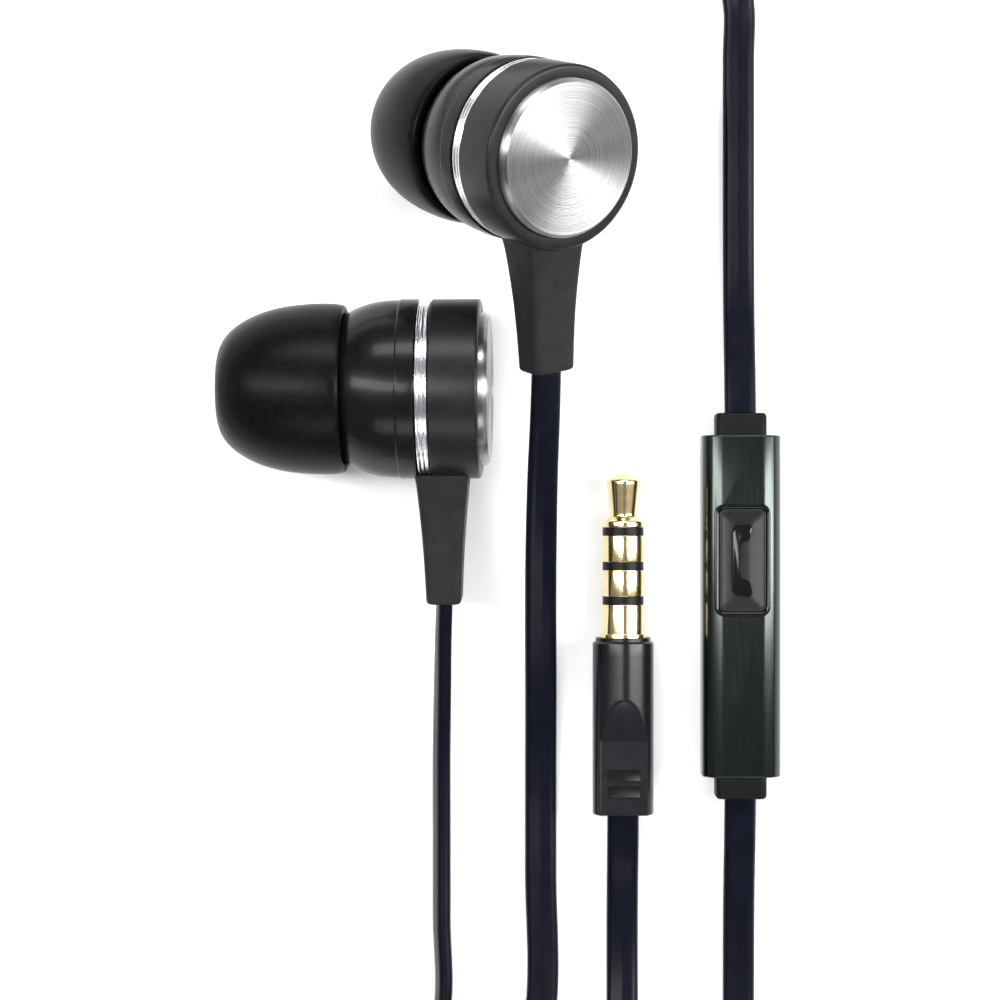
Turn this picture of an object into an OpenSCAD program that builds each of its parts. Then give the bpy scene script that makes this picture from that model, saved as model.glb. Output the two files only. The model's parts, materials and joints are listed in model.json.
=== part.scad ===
// Wired in-ear earphones with an in-line button and microphone, lying on a table.
// +X is to the right and +Y points away from the cord ends, with the table at z = 0.
// Each earbud is drawn about its own axis: +z to the metal back disc, -y to the cord.

/* [Earbud housing] */
// Outer diameter of the two-part housing
housing_d = 15; // [13:0.1:18]
// Wall of the front and rear shells
shell_wall = 0.8; // [0.6:0.05:1]
// Length of the straight lip behind the front dome
lip_len = 1.5; // [1:0.1:2.5]
// Width of the polished ring between the shells
ring_w = 1.2; // [0.8:0.1:1.6]
// Length of the rear shell
rear_len = 4.05; // [3.6:0.05:5.5]
// Diameter of the spun back disc
disc_d = 12.8; // [10:0.1:13]
// Thickness of the back disc
disc_t = 1; // [0.6:0.05:1.5]
// How deep the back disc is let into the rear shell
disc_seat = 0.3; // [0.2:0.05:0.5]

/* [Nozzle and ear tip] */
// Diameter of the nozzle behind its barb
nozzle_d = 5.2; // [4:0.1:5.6]
// Sound bore through the nozzle
nozzle_bore = 3.8; // [2.5:0.1:3.9]
// How far the barb stands out of the nozzle
barb = 0.25; // [0.1:0.05:0.4]
// Length of the nozzle in front of the dome
nozzle_len = 4.2; // [3.5:0.1:6]
// Largest diameter of the silicone ear tip
tip_d = 14.3; // [12:0.1:16]
// Length of the silicone ear tip
tip_len = 10.6; // [9:0.1:13]
// Wall of the ear tip's soft skirt
tip_wall = 0.75; // [0.5:0.05:1]

/* [Driver] */
// Outer diameter of the driver's frame
driver_d = 11.9; // [10:0.1:11.9]
// Diameter of the steel yoke cup
yoke_d = 7.2; // [6.8:0.1:8]
// Diameter of the magnet and its top plate
magnet_d = 4.6; // [4:0.1:4.8]
// Winding thickness of the voice coil
coil_t = 0.3; // [0.2:0.05:0.35]

/* [Strain relief] */
// Distance from the bud's axis to the end of the strain relief
stem_reach = 18.1; // [16:0.1:24]
// Width of the strain relief where it meets the housing
stem_w = 5.4; // [4.5:0.1:6.5]
// Depth of the strain relief where it meets the housing
stem_t = 4.5; // [3.5:0.1:4.8]
// Width of the strain relief at the cord
stem_end_w = 3.9; // [3.4:0.1:4.4]
// Depth of the strain relief at the cord
stem_end_t = 2.9; // [2.2:0.1:3.4]

/* [Cord] */
// Width of the flat cord
cord_w = 2.7; // [2.4:0.05:2.8]
// Thickness of the flat cord
cord_t = 1.35; // [1.1:0.05:1.4]

/* [Remote] */
// Length of the metal sleeve
remote_len = 29; // [27:0.5:36]
// Width of the metal sleeve
remote_w = 6.7; // [6.3:0.1:8]
// Height of the metal sleeve
remote_h = 5.2; // [5:0.1:6]
// Wall of the metal sleeve
remote_wall = 0.45; // [0.35:0.05:0.5]
// Width of the window for the button
window_w = 4.75; // [4.2:0.05:4.8]
// Length of the window for the button
window_len = 9.5; // [8:0.1:11]
// Width of each soft end collar
collar_w = 4.3; // [3.6:0.1:4.5]
// Travel of the call button
button_travel = 0.25; // [0.15:0.05:0.3]

/* [Plug] */
// Diameter of the plug's pin
pin_d = 3.5; // [3.4:0.1:3.6]
// Length of the pin from the barrel to its point
pin_len = 14; // [13:0.5:15]
// Diameter of the moulded barrel
barrel_d = 5.2; // [5:0.1:7]
// Length of the moulded barrel
barrel_len = 15.1; // [14:0.1:20]

/* [Splitter] */
// Length of the moulded Y splitter
splitter_len = 14; // [12:0.5:18]
// Width of the moulded Y splitter
splitter_w = 6; // [5.5:0.1:8]
// Height of the moulded Y splitter
splitter_h = 4; // [3.8:0.1:5]

/* [Hidden] */
fit = 0.05;                          // gap between parts that slide or press together
eps = 0.01;

// Stations along the bud's axis, from the centre of the strain relief
housing_r = housing_d / 2;
ring_rear = -0.78;
ring_front = ring_rear - ring_w;
dome_z = ring_front - lip_len;
dome_r = housing_r - 0.08;
nozzle_r = nozzle_d / 2;
nozzle_root = dome_z - sqrt(dome_r * dome_r - nozzle_r * nozzle_r);
nozzle_front = nozzle_root - nozzle_len;
rear_face = ring_rear + rear_len;
spigot_r = housing_r - shell_wall;
spigot_end = ring_rear + 0.65;
seat_z = dome_z - 2.1;

// Ear tip
core_r = nozzle_r + barb + fit;
core_wall = 0.8;
tip_r = tip_d / 2;
skirt_behind = 2.4;                  // how far the skirt reaches behind the core
skirt_gap = 0.3;                     // between the skirt's rim and the dome
skirt_inner_r = tip_r - tip_wall;
// Where the dome grows as wide as the inside of the skirt
dome_in_skirt = dome_z - sqrt(max(0, dome_r * dome_r - skirt_inner_r * skirt_inner_r));
core_rear = min(nozzle_root - 0.12, dome_in_skirt - skirt_gap - skirt_behind);
tip_front = core_rear - (tip_len - skirt_behind);
tip_rim = tip_front + tip_len;

// Driver, which faces the nozzle
frame_r = driver_d / 2;
frame_front = seat_z;
flange_t = 0.6;
basket_len = 3.0;
basket_r = frame_r - 0.75;
yoke_r = yoke_d / 2;
yoke_wall = 0.5;
yoke_rear = frame_front + basket_len + 0.35;
yoke_len = 2.5;
magnet_r = magnet_d / 2;
plate_t = 0.5;
coil_gap = 0.15;
coil_r = magnet_r + coil_gap;
cone_z = frame_front + 0.4;
cone_t = 0.06;
cone_r = frame_r - 1.95;
surround_r = frame_r - 1.2;

// Strain relief
stem_neck_r = 1.2;
stem_neck_z = 1.2;
clamp_size = [3.2, 1.6, 1.8];

// Where each bud lies: its centre, the rise of its axis to the back disc,
// the heading of that axis and its turn about that axis
left_at = [1.5, -5.1];
left_pose = [2.6, 0, 9];
right_at = [9.6, 13.6];
right_pose = [52.2, -21.3, 28.3];

// Remote, with its own origin at the middle of its underside
remote_at = [26.8, -23.4, 0];
collar_out = 1.9;
collar_in = 1.5;
collar_h = 3.4;
sleeve_corner = 1.7;
axis_z = remote_h / 2;
window_y = 3.9;
bezel_wall = 0.35;
bezel_depth = 0.85;
button_flange = 0.3;
flange_lip = 0.3;
button_proud = 0.12;
bezel_low = remote_h - remote_wall - bezel_depth;
flange_top = bezel_low - fit;
board_z = remote_wall + fit + 0.6;
board_t = 0.5;
switch_h = 1.1;
switch_top = board_z + board_t + switch_h;
plunger_r = 0.8;
plunger_top = switch_top + 0.5;
post_gap = 0.03;
mic_y = -8;
mic_r = 1.5;
mic_h = 1.1;
port_r = 0.4;

// Plug, with the face of its barrel at the origin and its pin along +y
plug_at = [16.8, -26.1, barrel_d / 2];
pin_r = pin_d / 2;
pin_flange = 0.3;
pin_flange_r = 1.95;
pin_flange_root = 0.4;               // depth of the flange in the barrel
plug_root_r = pin_r - 0.06;          // pin's radius behind the flange
band = 0.68;                         // each black insulating band
segment = 2.26;                      // each middle contact
sleeve_end = pin_flange + 2.5;
rear_ring_at = sleeve_end + band;
rear_ring_end = rear_ring_at + segment;
front_ring_at = rear_ring_end + band;
front_ring_end = front_ring_at + segment;
tip_contact_at = front_ring_end + band;
tip_shoulder = tip_contact_at + 0.5;
tip_neck = tip_shoulder + 0.36;
pin_back = -6;
sleeve_back = pin_back + 2.4;
core_bore_r = 1.47;
core_len = 3.4;

// Splitter, cord hank and its tie
splitter_at = [0.3, 35.8, 0];
splitter_split = splitter_h * 0.45;
hank_x = [-17.2, 30.8];
hank_top = -71.4;
hank_turns = 3;
hank_layers = 2;
hank_inner_r = 8.1;
turn_pitch = 1.42;
layer_pitch = 2.75;
tie_t = 0.5;
tie_w = 5;
tie_x = 1;
hank_r = hank_inner_r + hank_turns * turn_pitch + cord_t / 2;
hank_hole_r = hank_inner_r - cord_t / 2;
hank_h = hank_layers * layer_pitch;

// Cord routes: [x, y, z, roll]; roll 0 lies flat and roll 90 stands on edge
left_route = [
    [1.6, -23, 4.8, 81], [1.5, -25.8, 4.2, 80], [1.4, -30.3, 3.1, 77],
    [1.3, -36.3, 1.9, 76], [1.3, -42.3, 1.45, 76], [1.3, -50.3, 1.38, 76],
    [1.3, -58.3, 1.38, 79], [0.1, -62.8, 1.36, 85],
    [-3.1, -66.1, 1.36, 90], [-7.6, -67.3, 1.36, 90],
    [-18, -67.3, 1.36, 90], [-29.2, -67.3, 1.36, 90],
    [-33.7, -66.1, 1.36, 90], [-37, -62.8, 1.36, 90],
    [-38.2, -58.3, 1.36, 90], [-38.2, -36.3, 1.36, 90],
    [-38.2, -14.3, 1.36, 90], [-38.2, 7.7, 1.36, 90],
    [-38.2, 26, 1.36, 90], [-37, 30.5, 1.36, 90], [-33.7, 33.8, 1.36, 90],
    [-29.2, 35, 1.36, 90], [-17, 35, 1.36, 90], [-6, 35, 1.5, 90],
    [0.3, 35, 2, 90]];
right_route = [
    [10.12, -3.74, 11.8, -34], [10.03, -7.3, 10.8, -31],
    [9.85, -12.3, 9.1, -25], [9.75, -18.3, 6.6, -15], [9.75, -24.3, 4, -7],
    [9.8, -30.3, 2.1, 0], [9.8, -37.3, 0.95, 0], [9.8, -46.3, 0.7, 0],
    [9.8, -58.3, 0.7, 0], [8.9, -63.8, 1.05, 25], [5.7, -67.5, 1.35, 60],
    [0.8, -68.9, 1.36, 90], [-14, -68.9, 1.36, 90],
    [-29.2, -68.9, 1.36, 90], [-34.5, -67.5, 1.36, 90],
    [-38.4, -63.6, 1.36, 90], [-39.8, -58.3, 1.36, 90],
    [-39.8, -36.3, 1.36, 90], [-39.8, -14.3, 1.36, 90],
    [-39.8, 7.7, 1.36, 90], [-39.8, 26, 1.36, 90], [-38.4, 31.3, 1.36, 90],
    [-34.5, 35.2, 1.36, 90], [-29.2, 36.6, 1.36, 90],
    [-17, 36.6, 1.36, 90], [-6, 36.6, 1.5, 90], [0.3, 36.6, 2, 90]];
upper_route = [
    [14.3, 35.8, 2, 90], [18.2, 35.8, 1.6, 90], [22.9, 34.6, 1.35, 62],
    [25.8, 32, 1.2, 30], [26.8, 28.3, 0.74, 0], [26.8, 23.7, 0.7, 0],
    [26.8, 16.7, 0.7, 0], [26.8, 8.7, 0.7, 0], [26.8, 1.7, 1.1, 0],
    [26.8, -3.3, 2.1, 0], [26.8, -7, 2.6, 0]];
lower_route = [
    [26.8, -39.8, 2.6, 0], [26.8, -43.3, 2.1, 0], [26.8, -48.3, 1.1, 0],
    [26.8, -54.3, 0.7, 0], [26.8, -60.3, 0.7, 0], [26.8, -65.3, 1.1, 25],
    [27.1, -70.3, 1.5, 60], [27.9, -75.9, 1.85, 90]];
plug_route = [
    [8.2, -71.8, 4.6, 90], [12.3, -70.9, 4.3, 80], [15.6, -67.6, 3.5, 60],
    [16.8, -63.1, 2.3, 30], [16.8, -57.8, 1.1, 0], [16.8, -52.3, 0.75, 0],
    [16.8, -47.8, 1.2, 0], [16.8, -44.3, 2.1, 0], [16.8, -41.2, 2.6, 0]];

sides = ["left", "right"];
bud_parts = [
    "ear_tip", "nozzle_screen", "front_shell", "trim_ring", "rear_shell",
    "back_disc", "strain_relief", "driver_frame", "surround", "diaphragm",
    "voice_coil", "top_plate", "magnet", "yoke", "terminal_board", "cable_clamp"];

$fn = 64;

// ---------- shared shapes ----------

// Points on a circle about [cr, cz] between two angles
function arc(cr, cz, r, from, to, steps = 8) =
    [for (i = [0:steps]) let (a = from + (to - from) * i / steps)
        [cr + r * cos(a), cz + r * sin(a)]];

// A solid of revolution about z, from [radius, z] points
module turned(points) {
    rotate_extrude() polygon(points);
}

// A ring or tube about z
module tube(r_out, r_in, z0, z1) {
    translate([0, 0, z0]) difference() {
        cylinder(r = r_out, h = z1 - z0);
        translate([0, 0, -1]) cylinder(r = r_in, h = z1 - z0 + 2);
    }
}

module disc(r, z0, z1) {
    translate([0, 0, z0]) cylinder(r = r, h = z1 - z0);
}

// A rectangle with round corners, centred
module round_rect(w, l, r) {
    hw = w / 2 - r;
    hl = l / 2 - r;
    square([w, 2 * hl], center = true);
    square([2 * hw, l], center = true);
    for (x = [-hw, hw]) for (y = [-hl, hl]) translate([x, y]) circle(r = r);
}

// A block with round corners in plan, standing on z0
module round_block(w, l, r, z0, z1) {
    translate([0, 0, z0]) linear_extrude(height = z1 - z0) round_rect(w, l, r);
}

// ---------- ear tip ----------

// Outer outline of the ear tip from its mouth to its rim, as [radius, z]
function tip_outline() = [
    [core_r + 0.05, tip_front + 0.25],
    [core_r + 0.35, tip_front],
    [tip_r * 0.50, tip_front + 0.12],
    [tip_r * 0.60, tip_front + 0.5],
    [tip_r * 0.70, tip_front + 1.15],
    [tip_r * 0.79, tip_front + 2.05],
    [tip_r * 0.865, tip_front + 3.1],
    [tip_r * 0.92, tip_front + 4.2],
    [tip_r * 0.965, tip_front + 5.6],
    [tip_r * 0.99, tip_front + 7],
    [tip_r, tip_front + 8.2],
    [tip_r, tip_rim - 1.5],
    [tip_r * 0.985, tip_rim - 0.8],
    [tip_r * 0.96, tip_rim - 0.25],
    [tip_r * 0.93, tip_rim]];

// Inner outline of the skirt from its rim back to the core
function skirt_outline() = [
    [tip_r * 0.93 - 0.4, tip_rim],
    [tip_r * 0.985 - tip_wall, tip_rim - 0.8],
    [tip_r - tip_wall, tip_rim - 1.5],
    [tip_r - tip_wall, tip_front + 8],
    [tip_r * 0.965 - tip_wall, tip_front + 5.8],
    [tip_r * 0.90 - tip_wall, tip_front + 4.4],
    [tip_r * 0.82 - tip_wall, tip_front + 3.3],
    [core_r + core_wall, tip_front + 2.4],
    [core_r + core_wall, core_rear],
    [core_r, core_rear]];

module ear_tip() {
    color([0.07, 0.07, 0.07])
        turned(concat([[core_r, tip_front + 0.6]], tip_outline(), skirt_outline()));
}

// ---------- housing ----------

module nozzle_screen() {
    color("silver") disc(nozzle_bore / 2 + 0.3, nozzle_front + 0.1, nozzle_front + 0.25);
}

module front_shell() {
    bore_r = nozzle_bore / 2;
    chamber_r = frame_r - 1.3;
    edge = asin(nozzle_r / dome_r);
    color([0.05, 0.05, 0.05]) turned(concat(
        [[bore_r + 0.3 + eps, nozzle_front],
         [nozzle_r, nozzle_front],
         [nozzle_r + barb, nozzle_front + 0.45],
         [nozzle_r + barb, nozzle_front + 0.8],
         [nozzle_r, nozzle_front + 1.1]],
        arc(0, dome_z, dome_r, edge - 90, 0, 16),
        [[housing_r, dome_z],
         [housing_r, ring_front],
         [spigot_r, ring_front],
         [spigot_r, spigot_end],
         [frame_r + fit, spigot_end],
         [frame_r + fit, seat_z],
         [chamber_r, seat_z],
         [chamber_r, seat_z - 1.8],
         [bore_r, seat_z - 3.8],
         [bore_r, nozzle_front + 0.25],
         [bore_r + 0.3 + eps, nozzle_front + 0.25]]));
}

module trim_ring() {
    r = housing_r - 0.12;
    mid = (ring_front + ring_rear) / 2;
    groove = 0.12;
    color([0.85, 0.85, 0.85]) turned([
        [spigot_r + 0.02, ring_front + 0.03],
        [r - 0.1, ring_front + 0.03],
        [r, ring_front + 0.12],
        [r, mid - 0.2],
        [r - groove, mid - 0.12],
        [r - groove, mid - 0.06],
        [r, mid + 0.02],
        [r, ring_rear - 0.12],
        [r - 0.1, ring_rear - 0.03],
        [spigot_r + 0.02, ring_rear - 0.03]]);
}

module rear_shell() {
    inner_r = spigot_r + 0.03;
    cavity_r = spigot_r - 0.5;
    bevel = 0.3;
    color([0.1, 0.1, 0.1]) difference() {
        turned([
            [inner_r, ring_rear],
            [housing_r - 0.1, ring_rear],
            [housing_r, ring_rear + 0.1],
            [housing_r, rear_face - bevel],
            [housing_r - bevel, rear_face],
            [disc_d / 2 + fit, rear_face],
            [disc_d / 2 + fit, rear_face - disc_seat],
            [0, rear_face - disc_seat],
            [0, rear_face - disc_seat - 0.6],
            [cavity_r, rear_face - disc_seat - 0.6],
            [cavity_r, spigot_end + 0.05],
            [inner_r, spigot_end + 0.05]]);
        translate([0, 0, stem_neck_z]) rotate([90, 0, 0])
            cylinder(r = stem_neck_r + 0.02, h = housing_r + 1);
    }
}

module back_disc() {
    r = disc_d / 2;
    low = rear_face - disc_seat;
    high = low + disc_t;
    color([0.78, 0.78, 0.76]) turned([
        [0, low], [r, low], [r, high - 0.2], [r - 0.2, high], [0, high]]);
}

module strain_relief() {
    start = housing_r - 1.2;
    color([0.14, 0.14, 0.14]) {
        difference() {
            hull() {
                stem_slab(stem_w, stem_t, 1.1, start);
                stem_slab(stem_end_w, stem_end_t, 0.8, stem_reach);
            }
            translate([0, 0, -10]) cylinder(r = housing_r + 0.02, h = 20, $fn = 96);
        }
        translate([0, -housing_r + 2, stem_neck_z]) rotate([90, 0, 0])
            cylinder(r = stem_neck_r, h = 2.6);
    }
}

// One thin cross-section of the strain relief at a distance from the axis
module stem_slab(w, t, r, reach) {
    translate([0, -reach, 0]) rotate([90, 0, 0]) translate([0, 0, -0.05])
        linear_extrude(height = 0.05) round_rect(w, t, r, $fn = 32);
}

// ---------- driver ----------

module driver_frame() {
    ledge_r = surround_r - 0.02;
    color([0.2, 0.2, 0.22]) turned([
        [ledge_r, frame_front],
        [frame_r, frame_front],
        [frame_r, frame_front + flange_t],
        [basket_r, frame_front + flange_t],
        [basket_r, frame_front + basket_len],
        [yoke_r, frame_front + basket_len],
        [yoke_r, frame_front + basket_len - 0.5],
        [basket_r - 0.6, frame_front + basket_len - 0.5],
        [basket_r - 0.6, frame_front + flange_t + 0.15],
        [surround_r - 0.35, frame_front + flange_t + 0.15],
        [surround_r - 0.35, cone_z + cone_t + 0.1],
        [ledge_r, cone_z + cone_t + 0.1]]);
}

// Soft rolled edge that carries the diaphragm
module surround() {
    mid = (cone_r + surround_r) / 2;
    half = (surround_r - cone_r) / 2 - 0.03;
    color([0.3, 0.3, 0.35]) turned(concat(
        arc(mid, cone_z + cone_t / 2, half, 0, -180, 10),
        arc(mid, cone_z + cone_t / 2, half - 0.06, -180, 0, 10)));
}

module diaphragm() {
    dome_height = 0.45;
    color([0.75, 0.75, 0.7]) turned([
        [0, cone_z - dome_height],
        [coil_r * 0.5, cone_z - dome_height * 0.8],
        [coil_r, cone_z],
        [cone_r, cone_z],
        [cone_r, cone_z + cone_t],
        [coil_r - 0.03, cone_z + cone_t],
        [coil_r * 0.5, cone_z - dome_height * 0.8 + cone_t],
        [0, cone_z - dome_height + cone_t]]);
}

module voice_coil() {
    color([0.72, 0.45, 0.2])
        tube(coil_r + coil_t, coil_r, cone_z + cone_t, yoke_rear - yoke_len + plate_t + 0.3);
}

module top_plate() {
    color("silver")
        disc(magnet_r, yoke_rear - yoke_len + 0.1, yoke_rear - yoke_len + 0.1 + plate_t);
}

module magnet() {
    color([0.6, 0.6, 0.62])
        disc(magnet_r, yoke_rear - yoke_len + 0.1 + plate_t, yoke_rear - yoke_wall);
}

module yoke() {
    color([0.5, 0.5, 0.52]) difference() {
        disc(yoke_r, yoke_rear - yoke_len, yoke_rear);
        disc(yoke_r - yoke_wall, yoke_rear - yoke_len - 1, yoke_rear - yoke_wall);
    }
}

module terminal_board() {
    color([0.1, 0.35, 0.2]) intersection() {
        disc(yoke_r - 0.3, yoke_rear, yoke_rear + 0.3);
        translate([-5, -yoke_r * 0.55, yoke_rear - 1]) cube([10, yoke_r * 1.1, 3]);
    }
}

// Crimp that stops the cord from pulling out of the housing
module cable_clamp() {
    high = -housing_r + 2 + clamp_size[1];
    color([0.65, 0.55, 0.3])
        translate([-clamp_size[0] / 2, high - clamp_size[1], stem_neck_z - clamp_size[2] / 2])
            cube(clamp_size);
}

module bud_part(name) {
    if (name == "ear_tip") ear_tip();
    if (name == "nozzle_screen") nozzle_screen();
    if (name == "front_shell") front_shell();
    if (name == "trim_ring") trim_ring();
    if (name == "rear_shell") rear_shell();
    if (name == "back_disc") back_disc();
    if (name == "strain_relief") strain_relief();
    if (name == "driver_frame") driver_frame();
    if (name == "surround") surround();
    if (name == "diaphragm") diaphragm();
    if (name == "voice_coil") voice_coil();
    if (name == "top_plate") top_plate();
    if (name == "magnet") magnet();
    if (name == "yoke") yoke();
    if (name == "terminal_board") terminal_board();
    if (name == "cable_clamp") cable_clamp();
}

// Height of the bud's centre when its lowest point touches the table
function rest_height(rise) = -min([
    for (p = concat(tip_outline(),
                    [[dome_r, dome_z], [housing_r, dome_z], [housing_r, rear_face]]))
        p[1] * sin(rise) - p[0] * cos(rise)]);

module place_bud(side) {
    at = side == "left" ? left_at : right_at;
    pose = side == "left" ? left_pose : right_pose;
    translate([at[0], at[1], rest_height(pose[0])])
        rotate([0, 0, pose[1]]) rotate([0, 90 - pose[0], 0]) rotate([0, 0, pose[2]])
            children();
}

// ---------- remote ----------

module remote_profile(shrink) {
    round_rect(remote_w - 2 * shrink, remote_h - 2 * shrink, sleeve_corner - shrink);
}

module along_y(len) {
    translate([0, len / 2, 0]) rotate([90, 0, 0]) linear_extrude(height = len) children();
}

module remote_sleeve() {
    color([0.2, 0.21, 0.21]) translate(remote_at) difference() {
        translate([0, 0, axis_z]) along_y(remote_len) remote_profile(0);
        translate([0, 0, axis_z]) along_y(remote_len + 2) remote_profile(remote_wall);
        translate([0, window_y, 0])
            round_block(window_w, window_len, 0.8, axis_z, remote_h + 1);
        translate([0, mic_y, -1]) cylinder(r = port_r, h = 2);
    }
}

module remote_carrier() {
    len = remote_len - 2 * collar_in - 0.2;
    w = remote_w - 2 * remote_wall - 1.2;
    color([0.15, 0.15, 0.15]) translate(remote_at) difference() {
        intersection() {
            translate([0, 0, axis_z]) along_y(len) remote_profile(remote_wall + fit);
            translate([-w / 2, -len / 2, 0]) cube([w, len, board_z + board_t]);
        }
        translate([-w / 2 + 0.35, -len / 2 + 0.8, board_z])
            cube([w - 0.7, len - 1.6, 2]);
        translate([0, mic_y, 0]) cylinder(r = port_r, h = 3);
    }
}

module remote_board() {
    len = remote_len - 2 * collar_in - 0.2 - 1.8;
    w = remote_w - 2 * remote_wall - 2;
    color([0.05, 0.35, 0.2]) translate(remote_at) difference() {
        translate([-w / 2, -len / 2, board_z]) cube([w, len, board_t]);
        translate([0, mic_y, 0]) cylinder(r = port_r, h = 3);
    }
}

module button_bezel() {
    color([0.04, 0.04, 0.04]) translate(remote_at) translate([0, window_y, 0])
        difference() {
            round_block(window_w - 2 * 0.02, window_len - 2 * 0.02, 0.78,
                        bezel_low, remote_h + 0.05);
            round_block(window_w - 2 * bezel_wall, window_len - 2 * bezel_wall, 0.5,
                        bezel_low - 1, remote_h + 1);
        }
}

module call_button() {
    w = window_w - 2 * bezel_wall - 2 * fit;
    l = window_len - 2 * bezel_wall - 2 * fit;
    post_low = plunger_top + post_gap;
    color([0.16, 0.16, 0.16]) translate(remote_at) translate([0, window_y, 0]) {
        round_block(w, l, 0.45, flange_top - button_flange, remote_h + button_proud);
        round_block(w + flange_lip, l + flange_lip, 0.5,
                    flange_top - button_flange, flange_top);
        translate([0, 0, post_low])
            cylinder(r = plunger_r, h = flange_top - button_flange - post_low + eps);
    }
}

module switch_body() {
    size = 3.2;
    low = board_z + board_t;
    color([0.7, 0.7, 0.68]) translate(remote_at) translate([0, window_y, 0]) difference() {
        translate([-size / 2, -size / 2, low]) cube([size, size, switch_h]);
        translate([0, 0, low + 0.3]) cylinder(r = plunger_r + fit, h = 2);
    }
}

module switch_plunger() {
    low = board_z + board_t + 0.3 + button_travel + 0.1;
    color([0.8, 0.75, 0.3]) translate(remote_at)
        translate([0, window_y, low]) cylinder(r = plunger_r, h = plunger_top - low);
}

module microphone() {
    color("silver") translate(remote_at)
        translate([0, mic_y, board_z + board_t]) cylinder(r = mic_r, h = mic_h);
}

// A soft collar that grips the cord at one end of the sleeve
module end_collar(end) {
    color([0.09, 0.09, 0.09]) translate(remote_at)
        translate([0, end * (remote_len / 2 + (collar_out - collar_in) / 2), axis_z])
            along_y(collar_out + collar_in) round_rect(collar_w, collar_h, 0.5);
}

// ---------- plug ----------

// A solid of revolution about the pin, from [radius, distance along the pin] points
module along_pin(points) {
    translate(plug_at) rotate([-90, 0, 0]) turned(points);
}

module plug_tip() {
    rod = 0.5;
    color([0.83, 0.72, 0.42]) along_pin([
        [0, pin_back], [rod, pin_back], [rod, tip_contact_at],
        [pin_r, tip_contact_at], [pin_r, tip_shoulder], [1.12, tip_neck],
        [1.12, tip_neck + 0.25], [1.38, pin_len - 0.85], [1.38, pin_len - 0.65],
        [0.55, pin_len - 0.08], [0.3, pin_len], [0, pin_len]]);
}

// A contact that shows between two bands and runs back inside the pin as a tube
module pin_contact(from, to, r_in, r_out, back) {
    color([0.83, 0.72, 0.42]) along_pin([
        [r_in, back], [r_out, back], [r_out, from],
        [pin_r, from], [pin_r, to], [r_in, to]]);
}

module plug_ring_front() { pin_contact(front_ring_at, front_ring_end, 0.7, 0.95, pin_back + 0.8); }
module plug_ring_rear() { pin_contact(rear_ring_at, rear_ring_end, 1.1, 1.3, pin_back + 1.6); }

module plug_sleeve() {
    color([0.83, 0.72, 0.42]) along_pin([
        [1.45, sleeve_back], [plug_root_r, sleeve_back], [plug_root_r, -pin_flange_root],
        [pin_flange_r, -pin_flange_root], [pin_flange_r, pin_flange - 0.08],
        [pin_flange_r - 0.08, pin_flange], [pin_r, pin_flange],
        [pin_r, sleeve_end], [1.45, sleeve_end]]);
}

module plug_insulators() {
    ends = [tip_contact_at, front_ring_at, rear_ring_at];
    radii = [0.5, 0.95, 1.3];
    walls = [0.2, 0.15, 0.15];
    for (i = [0:2])
        color([0.05, 0.05, 0.05]) along_pin([
            [radii[i], pin_back + 0.4 + 0.8 * i],
            [radii[i] + walls[i], pin_back + 0.4 + 0.8 * i],
            [radii[i] + walls[i], ends[i] - band],
            [pin_r, ends[i] - band], [pin_r, ends[i]], [radii[i], ends[i]]]);
}

// Hard core inside the barrel, which holds the pin and the cord's end
module plug_core() {
    color([0.25, 0.25, 0.25]) translate(plug_at) rotate([90, 0, 0])
        translate([0, 0, 0.02 - pin_back]) cylinder(r = core_bore_r - 0.02, h = core_len);
}

module plug_barrel() {
    r = barrel_d / 2;
    scoop = 0.95;                    // depth of the flat finger grip
    scoop_from = 5.3;
    slot = [2.9, 1.05, 0.45];
    core_end = 0.04 - pin_back + core_len;
    color([0.1, 0.1, 0.11]) translate(plug_at) difference() {
        rotate([90, 0, 0]) turned([
            [pin_flange_r + 0.02, 0], [r - 0.25, 0], [r - 0.25, 0.35], [r - 0.08, 0.35],
            [r, 0.5], [r, barrel_len - 0.15], [r - 0.15, barrel_len],
            [0, barrel_len], [0, core_end], [core_bore_r, core_end],
            [core_bore_r, 0.02 - sleeve_back],
            [plug_root_r + 0.02, 0.02 - sleeve_back],
            [plug_root_r + 0.02, pin_flange_root + 0.02],
            [pin_flange_r + 0.02, pin_flange_root + 0.02]]);
        for (face = [1, -1]) mirror([0, 0, face == 1 ? 0 : 1]) {
            translate([-r - 1, 0, 0]) rotate([90, 0, 90])
                linear_extrude(height = 2 * r + 2) polygon([
                    [-scoop_from, r + 0.001], [-scoop_from - 3.4, r - scoop],
                    [-barrel_len - 1, r - scoop], [-barrel_len - 1, r + 1],
                    [-scoop_from, r + 1]]);
            for (y = [barrel_len - 3.9, barrel_len - 2.5])
                translate([-slot[0] / 2, -y, r - scoop - slot[2]]) cube(slot);
        }
    }
}

// ---------- splitter ----------

module splitter_half(z0, z1) {
    translate(splitter_at) translate([splitter_len / 2, 0, 0])
        round_block(splitter_len, splitter_w, 1.6, z0, z1);
}

module splitter_base() {
    color([0.08, 0.08, 0.08]) splitter_half(0, splitter_split);
}

module splitter_cover() {
    color([0.1, 0.1, 0.1]) splitter_half(splitter_split, splitter_h);
}

// ---------- cords ----------

// Direction of travel at point i of a route
function travel(route, i) =
    let (a = route[max(i - 1, 0)], b = route[min(i + 1, len(route) - 1)],
         d = [b[0] - a[0], b[1] - a[1], b[2] - a[2]])
    d / norm(d);

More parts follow.
